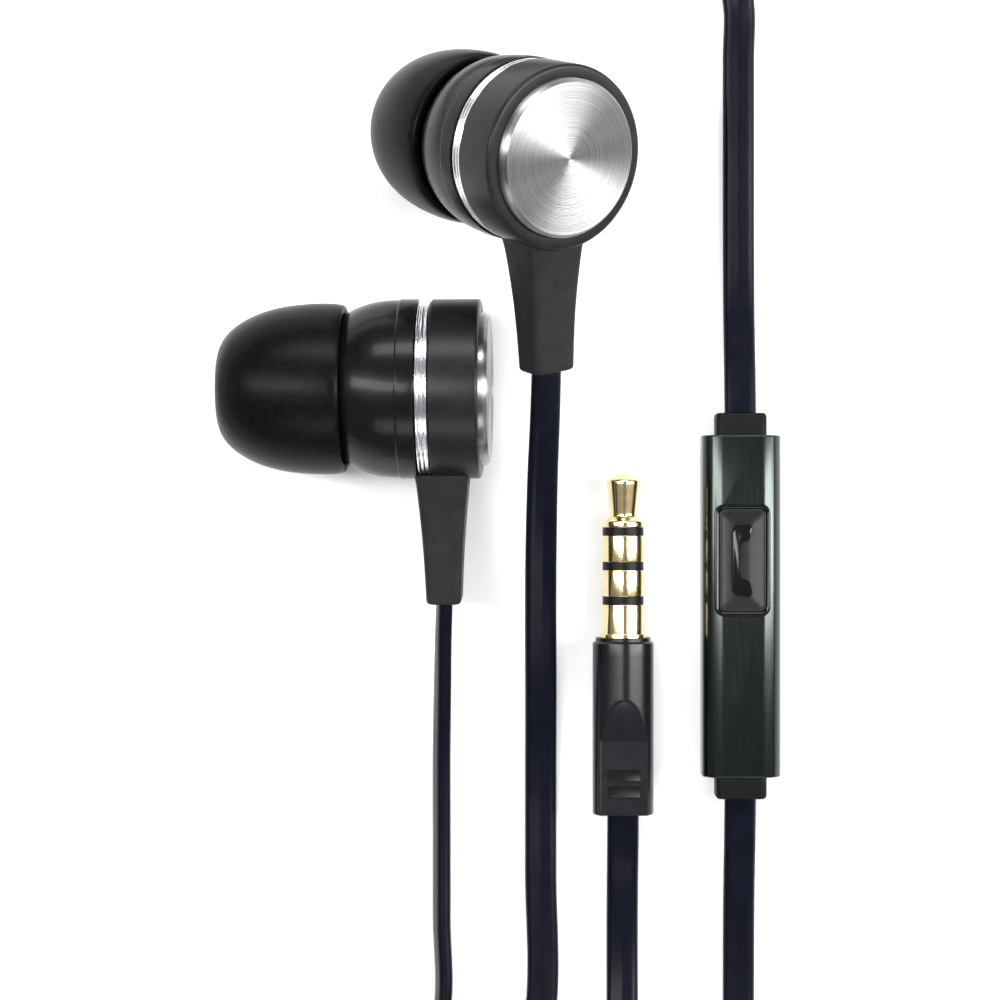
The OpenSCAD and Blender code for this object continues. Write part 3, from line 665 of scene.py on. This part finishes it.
def cord_section(steps=6):
    """The flat cord's section: round edges and a faint ridge along each broad side."""
    w, t = CORD_W / 2, CORD_T / 2
    ridge = 0.07
    r = t - ridge
    right = arc(w - r, 0, r, -90, 90, 2 * steps)
    across = [(w - r) * (1 - k / steps) for k in range(1, 2 * steps)]
    top = [(x, t - ridge * abs(x) / (w - r)) for x in across]
    left = [(-x, -y) for x, y in right]
    bottom = [(-x, -y) for x, y in top]
    return np.array(right + top + left + bottom)


def swept(name, route):
    """A flat cord along a route; returns the piece and its centreline in metres."""
    line = spline(route, CORD_STEP)
    points = line[:, :3]
    along = np.gradient(points, axis=0)
    along /= np.linalg.norm(along, axis=1)[:, None]
    side = np.stack([-along[:, 1], along[:, 0], np.zeros(len(along))], axis=1)
    side /= np.linalg.norm(side, axis=1)[:, None]
    up = np.cross(along, side)
    roll = np.radians(line[:, 3])[:, None]
    wide = np.cos(roll) * side + np.sin(roll) * up
    thick = np.cross(along, wide)
    section = cord_section()
    bm = bmesh.new()
    rings = [p + section[:, :1] * a + section[:, 1:] * b for p, a, b in zip(points, wide, thick)]
    skin(bm, rings)
    obj = finished(name, bm, Matrix.Identity(4), FINISHES["cord_rubber"], sharp=60)
    return obj, points * MM


def free_cord(name, route, replaced):
    """A cord of its own, swept along its route in place of the CAD nodes it replaces."""
    obj, path = swept(name, route)
    stands_for(obj, ROOT, "cord_rubber", *replaced)


# ---------- earbuds ----------


def ear_tip(side, place):
    """Soft silicone tip: a domed skirt folded back round its core."""
    low, high, r = span(f"{side}_ear_tip", place)
    core, core_wall, wall = 2.9, 0.8, 0.75
    core_rear = low + 8.2
    rim = r * 0.96
    skirt = ((0.5, 0.12), (0.6, 0.5), (0.7, 1.15), (0.79, 2.05), (0.865, 3.1), (0.92, 4.2),
             (0.965, 5.6), (0.99, 7), (1, 8.2))         # (share of the radius, height)
    outer = [(core + 0.35, low + 0.02)]
    outer += [(r * share, low + height) for share, height in skirt]
    outer += [(r, high - 1.3), (r * 0.99, high - 0.5), (r * 0.978, high - 0.15)]
    inner = [(r * 0.985 - wall, high - 0.8), (r - wall, high - 1.5), (r - wall, low + 8),
             (r * 0.965 - wall, low + 5.8), (r * 0.9 - wall, low + 4.4), (r * 0.82 - wall, low + 3.3)]
    outline = [(core, low + 0.45), (core + 0.1, low + 0.12)]
    outline += smoothed(outer, 0.25)
    outline += [(r * 0.97, high - 0.04), (rim, high), (rim - 0.35, high), (rim - 0.5, high - 0.1)]
    outline += smoothed(inner, 0.4)
    outline += [tuple(p) for p in rounded(
        [(core + 1.4, low + 2.5), (core + core_wall, low + 2.9, 0.3), (core + core_wall, core_rear, 0.2),
         (core, core_rear, 0.15), (core, low + 6)], closed=False)]
    obj = turned(f"{side}_silicone_tip", outline, place, FINISHES["tip_rubber"], segments=192, sharp=50)
    stands_for(obj, f"{side}_tip", "tip_rubber", f"{side}_ear_tip")
    return obj


def front_shell(side, place):
    """Gloss nozzle and dome with a straight lip at the ring."""
    low, high, r = span(f"{side}_front_shell", place)
    ring_low, _, _ = span(f"{side}_trim_ring", place)
    nozzle, bore, barb, lip = 2.6, 1.9, 0.25, 1.5
    screen_seat = bore + 0.31
    dome_r = r - 0.08
    lip_end = ring_low - 0.03
    dome = lip_end - lip
    fullness = 2.3                      # 2 would be a sphere
    edge = math.acos((nozzle / dome_r) ** (fullness / 2))
    root = dome - dome_r * math.sin(edge) ** (2 / fullness)
    spigot, cup, well = r - 0.8, 6.0, 4.65
    seat = dome - 2.1
    well_floor, cone_end = seat - 1.8, seat - 3.8
    head = rounded([(screen_seat, low + 0.25), (screen_seat, low, 0.06), (nozzle, low, 0.15),
                    (nozzle + barb, low + 0.45, 0.15), (nozzle + barb, low + 0.8, 0.1),
                    (nozzle, low + 1.1, 0.1), (nozzle, root - 0.3)], closed=False)
    back = rounded([(dome_r, dome - 0.12), (dome_r, dome - 0.05, 0.02), (r - 0.02, dome, 0.05),
                    (r, dome + 0.12, 0.04), (r, lip_end, 0.07), (spigot, lip_end), (spigot, high),
                    (cup, high), (cup, seat), (well, seat), (well, well_floor),
                    (bore, cone_end), (bore, low + 0.25)], closed=False)
    bulge = [(dome_r * math.cos(a) ** (2 / fullness), dome - dome_r * math.sin(a) ** (2 / fullness))
             for a in np.linspace(edge, 0.02, 48)]
    outline = [*map(tuple, head), *bulge, *map(tuple, back)]
    obj = turned(f"{side}_gloss_shell", outline, place, FINISHES["shell_gloss"], segments=192, sharp=28)
    stands_for(obj, ROOT, "shell_gloss", f"{side}_front_shell")


def trim_ring(side, place):
    """Polished ring with three ridges, the middle one a little lower."""
    low, high, r = span(f"{side}_trim_ring", place)
    wall, shoulder, groove, land = 0.66, 0.12, 0.09, 0.12
    flank, soft, middle_drop = 0.04, 0.05, 0.03
    inner = r - wall
    ridges = 3
    pitch = (high - low) / ridges
    outline = [(inner, low), (r - shoulder, low, soft)]
    for k in range(ridges):
        start = low + k * pitch
        top = r - middle_drop if k == 1 else r
        outline += [(top - groove, start + flank, flank), (top, start + land, soft),
                    (top, start + pitch - land, soft), (top - groove, start + pitch - flank, flank)]
    outline += [(r - shoulder, high, soft), (inner, high)]
    obj = turned(f"{side}_polished_ring", rounded(outline), place, FINISHES["ring_chrome"],
                 segments=192, sharp=40)
    stands_for(obj, ROOT, "ring_chrome", f"{side}_trim_ring")


def rear_shell(side, place):
    """Satin rear cup with a softened rim round the disc."""
    low, high, r = span(f"{side}_rear_shell", place)
    disc_low, _, disc_r = span(f"{side}_back_disc", place)
    socket = r - 0.77
    socket_end = low + 0.7
    inside = socket - 0.53
    floor = disc_low - 0.6
    rim = disc_r + 0.05
    outline = rounded([
        (socket, low), (r - 0.02, low, 0.08), (r, high, 0.34), (rim, high, 0.06),
        (rim, disc_low), (0, disc_low), (0, floor), (inside, floor),
        (inside, socket_end), (socket, socket_end)], steps=6)
    obj = turned(f"{side}_satin_shell", outline, place, FINISHES["shell_satin"], segments=192, sharp=28)
    stands_for(obj, ROOT, "shell_satin", f"{side}_rear_shell")


def back_disc(side, place):
    """Spun aluminium disc with turned grooves and a bright bevel."""
    low, high, r = span(f"{side}_back_disc", place)
    bevel, pitch, depth, first, plain = 0.28, 0.3, 0.014, 0.42, 0.5
    top = [(0, high - 0.02), (0.16, high - 0.05), (0.3, high - 0.005)]      # the lathe's centre mark
    for k in range(int((r - bevel - plain) / pitch)):
        at = first + k * pitch
        groove = depth * (1 + 0.4 * math.sin(2.3 * k))      # no two are equally deep
        top += [(at, high), (at + 0.55 * pitch, high - groove)]
    top += [(r - bevel, high), (r - 0.06, high - bevel + 0.04), (r, high - bevel - 0.06)]
    outline = [(0, low), (r, low)] + top[::-1]
    obj = turned(f"{side}_spun_disc", outline, place, FINISHES["disc_metal"], segments=256, sharp=40)
    stands_for(obj, ROOT, "disc_metal", f"{side}_back_disc")


def strain_relief(side, place):
    """Tapered rubber relief with crisp faces and a lip at the cord."""
    _, _, corner_reach = span(f"{side}_strain_relief", place)
    start, shoulder, soft, end_trim = 6.95, 7.6, 0.3, 0.6
    wide, deep, wide_end, deep_end = 5.4, 4.5, 3.9, 2.9
    waist_depth, flare_height = 0.16, 0.06
    reach = math.sqrt(corner_reach**2 - (wide_end / 2) ** 2 - end_trim**2)
    rings = []
    stations = list(np.linspace(start, reach - soft, 26))
    stations += [reach - soft + soft * math.sin(a) for a in np.linspace(0.3, math.pi / 2, 5)]
    for at in stations:
        share = (at - start) / (reach - start)
        waist = waist_depth * math.sin(math.pi * share)
        edge = soft * (1 - math.sqrt(max(0, 1 - max(0, (at - reach + soft) / soft) ** 2)))
        flare = flare_height * max(0, 1 - (at - start) / (shoulder - start) / 2) ** 2
        w = wide + (wide_end - wide) * share - 2 * waist + 2 * flare - 2 * edge
        d = deep + (deep_end - deep) * share - 1.4 * waist + 2 * flare - 2 * edge
        rings.append([(x, -at, y) for x, y in rect_loop(w, d, 0.55, 5)])
    hole_w, hole_t, hole_depth, chamfer = CORD_W + 0.1, CORD_T + 0.1, 0.15, 0.3
    rings.append([(x, -reach, y) for x, y in rect_loop(hole_w + chamfer, hole_t + chamfer, 0.7, 5)])
    rings.append([(x, -reach + hole_depth, y) for x, y in rect_loop(hole_w, hole_t, 0.6, 5)])
    bm = bmesh.new()
    skin(bm, rings)
    obj = finished(f"{side}_tapered_relief", bm, place, FINISHES["stem_rubber"], sharp=40)
    stands_for(obj, ROOT, "stem_rubber", f"{side}_strain_relief")


def earbud(side):
    """Every seen piece of one bud."""
    place = bud_place(side)
    tip = ear_tip(side, place)
    front_shell(side, place)
    trim_ring(side, place)
    rear_shell(side, place)
    back_disc(side, place)
    strain_relief(side, place)
    if side == "right":                 # it leans on the table, so its tip gets a mesh of its own
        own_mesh(tip)


# ---------- remote ----------


def sleeve():
    """Dark metal tube of rounded rectangular section with a window for the button."""
    low, high = box_mm("remote_sleeve")
    w, h = high[0] - low[0], high[2] - low[2]
    corner, wall, soft, end_step = 1.7, 0.45, 0.14, 0.02
    middle = (low + high) / 2
    half = (high[1] - low[1]) / 2
    rings = []
    for end in (-1, 1):
        steps = edge_steps(soft) if end < 0 else edge_steps(soft)[::-1]
        for inset, depth in steps:
            y = end * (half - depth)
            loop = rect_loop(w - 2 * inset, h - 2 * inset, corner - inset, 10)
            rings.append([(x, y, z) for x, z in loop])
    for end in (1, -1):
        loop = rect_loop(w - 2 * wall, h - 2 * wall, corner - wall, 10)
        rings.append([(x, end * (half - end_step), z) for x, z in loop])
    bm = bmesh.new()
    skin(bm, rings, closed=True)
    obj = finished("metal_sleeve", bm, upright(*middle), FINISHES["sleeve_metal"], sharp=30)
    bezel_low, bezel_high = box_mm("button_bezel")
    window = (bezel_low + bezel_high) / 2
    gap, window_r, bevel = 0.04, 0.8, 0.05
    tool = block("window_tool", bezel_high[0] - bezel_low[0] + gap, bezel_high[1] - bezel_low[1] + gap,
                 window_r, middle[2], high[2] + 2, bevel, upright(window[0], window[1]),
                 FINISHES["sleeve_metal"])
    mic = centre_mm("microphone")
    port_r, port_half = 0.4, 1          # it only goes through the underside
    port = turned("port_tool", [(0, -port_half), (port_r, -port_half), (port_r, port_half), (0, port_half)],
                  upright(mic[0], mic[1]), FINISHES["sleeve_metal"], segments=32)
    cut(obj, [tool, port])
    stands_for(obj, ROOT, "sleeve_metal", "remote_sleeve")


def bezel():
    """Polished frame round the button."""
    low, high = box_mm("button_bezel")
    middle = (low + high) / 2
    w, l, wall = high[0] - low[0], high[1] - low[1], 0.33
    top = high[2]
    steps = [(0, 0.78, low[2]), (0, 0.78, top - 0.1), (0.03, 0.75, top - 0.03), (0.1, 0.7, top),
             (wall - 0.1, 0.55, top - 0.01), (wall - 0.02, 0.5, top - 0.06),
             (wall, 0.48, top - 0.16), (wall, 0.48, low[2])]       # (inset, corner radius, height)
    bm = bmesh.new()
    skin(bm, [[(x, y, z) for x, y in rect_loop(w - 2 * i, l - 2 * i, r, 8)] for i, r, z in steps],
         closed=True)
    obj = finished("window_bezel", bm, upright(middle[0], middle[1]), FINISHES["bezel_gloss"], sharp=35)
    stands_for(obj, ROOT, "bezel_gloss", "button_bezel")


def handset_outline():
    """A plain telephone receiver seen from the side, its back to the left."""
    upper = [(-0.85, 2.5, 0.3), (-0.4, 3.05, 0.25), (0.55, 3.15, 0.2), (0.85, 2.75, 0.2),
             (0.55, 1.75, 0.2), (-0.05, 1.6, 0.2), (-0.3, 1.15, 0.2)]
    lower = [(x, -y, cut_back) for x, y, cut_back in upper]
    return rounded(upper + lower[::-1])


def button():
    """Call button with a raised receiver sign on its face."""
    low, high = box_mm("call_button")
    middle = (low + high) / 2
    place = upright(middle[0], middle[1])
    lip, soft, dish, corner = 0.3, 0.1, 0.22, 0.4
    w, l = high[0] - low[0] - lip, high[1] - low[1] - lip
    flange = box_mm("button_bezel")[0][2] - 0.05
    face = high[2] - soft               # the sign stands up from here
    rings = [[(x, y, z) for x, y in rect_loop(w + lip, l + lip, 0.5, 6)]
             for z in (flange - lip, flange)]
    rings += block_rings(w, l, 0.45, flange, face, soft)[len(edge_steps(soft)):]
    for share in np.linspace(0.1, 0.9, 6):
        inset = soft + share * (w / 2 - soft)
        z = face - dish * math.sin(share * math.pi / 2)
        rings.append([(x, y, z) for x, y in rect_loop(w - 2 * inset, l - 2 * inset, corner, 6)])
    bm = bmesh.new()
    skin(bm, rings)
    obj = finished("call_key", bm, place, FINISHES["button_gloss"], sharp=35)
    stands_for(obj, "button", "button_gloss", "call_button")
    outline = handset_outline()
    centre = outline.mean(0)
    half_w, half_l = 1.6, 3.2           # of the sign, for the slope of its edge
    sign = []
    for inset, z in ((0, high[2] - 0.5), (0, high[2] - 0.09), (0.03, high[2] - 0.03), (0.1, high[2])):
        ring = centre + (outline - centre) * (1 - inset / half_w, 1 - inset / half_l)
        sign.append([(x, y, z) for x, y in ring])
    bm = bmesh.new()
    skin(bm, sign)
    mark = finished("receiver_sign", bm, place, FINISHES["bezel_gloss"], sharp=35)
    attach(mark, "button")


def collar(end):
    """Soft collar where the cord enters the sleeve."""
    node = f"{end}_collar"
    low, high = box_mm(node)
    middle = (low + high) / 2
    way = 1 if end == "upper" else -1
    w, h, half = high[0] - low[0], high[2] - low[2], (high[1] - low[1]) / 2
    steps = [(w - 2 * inset, h - 2 * inset, 0.5, y) for inset, y in (
        (0.05, -half), (0, -half + 0.1), (0, half - 0.3), (0.08, half - 0.08), (0.2, half))]
    steps += [(CORD_W + 0.4, CORD_T + 0.4, 0.8, half), (CORD_W + 0.1, CORD_T + 0.1, 0.7, half - 0.15)]
    rings = [[(x, way * y, z) for x, z in rect_loop(wide, tall, r, 6)] for wide, tall, r, y in steps]
    bm = bmesh.new()
    skin(bm, rings)
    obj = finished(f"{end}_soft_collar", bm, upright(*middle), FINISHES["collar_rubber"], sharp=35)
    stands_for(obj, ROOT, "collar_rubber", node)


# ---------- plug ----------


def plug_place():
    """The pin's own place: z along the pin to its point, origin at the barrel's face."""
    low, high = box_mm("plug_barrel")
    middle = (low + high) / 2
    return placed((1, 0, 0), (0, 0, -1), (0, 1, 0), (middle[0], high[1], middle[2]))


def pin_contacts(place):
    """Gold contacts with softened edges, each running back inside the pin as a tube."""
    r, band, segment, soft = 1.75, 0.68, 2.26, 0.07
    flange_r, flange_root, flange_end = 1.95, -0.4, 0.3
    inside = {"plug_sleeve": (1.45, r - 0.06), "plug_ring_rear": (1.1, 1.3),
              "plug_ring_front": (0.7, 0.95)}               # (bore, outside) of the tube
    for name, (bore, tube) in inside.items():
        low, high, _ = span(name, place)
        outline = [(bore, low), (tube, low)]
        if name == "plug_sleeve":
            outline += [(tube, flange_root), (flange_r, flange_root), (flange_r, flange_end, soft),
                        (r, flange_end)]
        else:
            outline += [(tube, high - segment), (r, high - segment, soft)]
        outline += [(r, high, soft), (bore, high)]
        obj = turned(f"gold_{name}", rounded(outline), place, FINISHES["plug_gold"], segments=128, sharp=35)
        stands_for(obj, ROOT, "plug_gold", name)
    low, high, _ = span("plug_tip", place)
    _, ring_end, _ = span("plug_ring_front", place)
    start = ring_end + band
    stalk, waist = 0.5, 1.12
    outline = rounded([
        (0, low), (stalk, low), (stalk, start), (r, start, soft), (r, start + 0.5, 0.12),
        (waist, start + 0.9, 0.15), (waist, start + 1.15, 0.12), (1.4, high - 0.85, 0.2),
        (1.38, high - 0.6, 0.2), (0.5, high - 0.05, 0.2), (0, high)])
    tip = turned("gold_plug_tip", outline, place, FINISHES["plug_gold"], segments=128, sharp=35)
    stands_for(tip, ROOT, "plug_gold", "plug_tip")


def barrel(place):
    """Moulded barrel with a scooped grip on two faces and two slots across each."""
    low, high, r = span("plug_barrel", place)
    length = high - low
    scoop, scoop_from, scoop_run, neck, soft = 0.95, 5.3, 3.4, 0.25, 0.15
    scoop_end = scoop_from + scoop_run
    angles = np.linspace(0, 2 * math.pi, 120, endpoint=False)
    stations = [(0, r - neck - 0.06), (0.06, r - neck), (0.33, r - neck), (0.38, r - 0.12), (0.5, r - 0.01)]
    stations += [(s, r) for s in (*np.linspace(0.6, scoop_from - 0.1, 6),
                                  *np.linspace(scoop_from, scoop_end + 0.3, 26),
                                  *np.linspace(scoop_end + 0.7, length - 0.2, 14))]
    stations += [(length - soft + soft * math.sin(a), r - soft * (1 - math.cos(a)))
                 for a in np.linspace(0.2, math.pi / 2, 5)]
    rings = []
    for s, radius in stations:
        share = np.clip((s - scoop_from) / scoop_run, 0, 1)
        flat = radius - scoop * share**0.85
        ring = []
        for a in angles:
            x, y = radius * math.cos(a), radius * math.sin(a)
            ring.append((x, math.copysign(min(abs(y), flat), y), -s))
        rings.append(ring)
    rings.append([(x, y, -length) for x, y in rect_ring(CORD_W + 0.3, CORD_T + 0.3, 0.7, angles)])
    bm = bmesh.new()
    skin(bm, rings)
    obj = finished("moulded_barrel", bm, place, FINISHES["barrel_rubber"], sharp=30)
    slot_w, slot_l, slot_r, slot_depth, clear, bevel = 2.9, 1.05, 0.15, 0.7, 1.5, 0.04
    tools = []
    for face in (1, -1):
        for back in (3.9, 2.5):         # from the barrel's end to a slot's front edge
            middle = (0, face * (r - scoop), -(length - back + 0.52))
            at = place @ placed((1, 0, 0), (0, 0, face), (0, face, 0), middle)
            tools.append(block("slot_tool", slot_w, slot_l, slot_r, -slot_depth, clear, bevel, at,
                               FINISHES["barrel_rubber"]))
    cut(obj, tools)
    stands_for(obj, ROOT, "barrel_rubber", "plug_barrel")


def rect_ring(w, h, r, angles):
    """Points of a rectangle with round corners, one for each angle."""
    loop = rect_loop(w, h, r, 12)
    turn = np.arctan2(loop[:, 1], loop[:, 0])
    order = np.argsort(turn)
    loop, turn = loop[order], turn[order]
    wanted = (np.array(angles) + math.pi) % (2 * math.pi) - math.pi
    reach = np.interp(wanted, turn, np.hypot(loop[:, 0], loop[:, 1]), period=2 * math.pi)
    return [(d * math.cos(a), d * math.sin(a)) for d, a in zip(reach, angles)]


# ---------- splitter and tie ----------


def splitter():
    """Moulded Y splitter in two halves, the upper one slightly crowned."""
    corner = 1.6
    for half, bevel, crown in (("base", 0.2, 0), ("cover", 0.35, 0.12)):
        node = f"splitter_{half}"
        low, high = box_mm(node)
        middle = (low + high) / 2
        obj = block(f"splitter_{half}_moulding", high[0] - low[0], high[1] - low[1], corner, low[2],
                    high[2], bevel, upright(middle[0], middle[1]), FINISHES["splitter_rubber"], crown)
        stands_for(obj, ROOT, "splitter_rubber", node)


def cable_tie():
    """Soft band round the hank, with softened edges."""
    low, high = box_mm("cable_tie")
    middle = (low + high) / 2
    width, l, h = high[0] - low[0], high[1] - low[1], high[2] - low[2]
    corner, least_corner, edge, setback = 1.2, 0.5, 0.12, 0.1
    steps = [(TIE_T, setback), (TIE_T - edge, 0), (edge, 0), (0, setback)]
    rings = []
    for end, run in ((1, steps), (-1, steps[::-1])):
        for inset, back in run:
            x = end * (width / 2 - back)
            loop = rect_loop(l - 2 * inset, h - 2 * inset, max(corner - inset, least_corner), 6)
            rings.append([(x, y, z) for y, z in loop])
    bm = bmesh.new()
    skin(bm, rings, closed=True)
    obj = finished("cable_band", bm, upright(*middle), FINISHES["tie_rubber"], sharp=40)
    stands_for(obj, ROOT, "tie_rubber", "cable_tie")


# ---------- carried-over CAD nodes ----------


def dress_cad_nodes():
    """Gives every CAD node its own finish and smooth shading."""
    crease = 30
    slots = {part["node"]: part["material_slot"] for part in frame["record"]["subparts"]}
    for name, obj in nodes.items():
        obj.data.materials.clear()
        obj.data.materials.append(FINISHES[slots[name]])
        obj.data.polygons.foreach_set("use_smooth", [True] * len(obj.data.polygons))
        obj.data.set_sharp_from_angle(angle=math.radians(crease))


# ---------- stage ----------


def softbox(name, place, size, watts):
    """An area light at a place in metres from the view's centre, turned to that centre."""
    data = bpy.data.lights.new(name, "AREA")
    data.shape = "RECTANGLE"
    data.size, data.size_y = size
    data.energy = watts
    light = bpy.data.objects.new(name, data)
    bpy.context.scene.collection.objects.link(light)
    light.location = view_centre + Vector(place)
    light.rotation_mode = "QUATERNION"
    light.rotation_quaternion = (view_centre - light.location).to_track_quat("-Z", "Y")


def make_stage():
    """Pale table, four softboxes and a dim sky."""
    bpy.ops.mesh.primitive_plane_add(size=6, location=(0, 0, 0))
    floor = bpy.context.object
    floor.name = "pale_floor"
    paper = Finish("pale_paper", (0.9, 0.9, 0.9), 0.9)
    paper.bump(paper.noise(0.5), 0.02)
    floor.data.materials.append(paper.material)
    softbox("left_box", (-0.24, 0.04, 0.44), (0.1, 0.5), 2.4)
    softbox("right_box", (0.4, 0.02, 0.34), (0.11, 0.5), 3.6)
    softbox("top_box", (0.02, 0.42, 0.34), (0.5, 0.14), 2.4)
    softbox("foot_box", (0.0, -0.5, 0.4), (0.5, 0.2), 1.2)
    world = bpy.data.worlds.new("studio")
    world.use_nodes = True
    background = world.node_tree.nodes["Background"]
    background.inputs["Color"].default_value = (0.9, 0.93, 1, 1)
    background.inputs["Strength"].default_value = 0.25
    bpy.context.scene.world = world
    bpy.context.scene.view_settings.view_transform = "Standard"


# ---------- assembly ----------

dress_cad_nodes()
for side in SIDES:
    earbud(side)
sleeve()
bezel()
button()
collar("upper")
collar("lower")
pin = plug_place()
pin_contacts(pin)
barrel(pin)
splitter()
cable_tie()

free_cord("left_flat_cord", LEFT_ROUTE, ["left_cord"])
free_cord("right_flat_cord", RIGHT_ROUTE, ["right_cord"])
free_cord("upper_flat_cord", UPPER_ROUTE, ["upper_cord"])
free_cord("lower_flat_cord", LOWER_ROUTE + hank_route() + PLUG_ROUTE,
          ["lower_cord", "cord_hank", "plug_cord"])
make_stage()
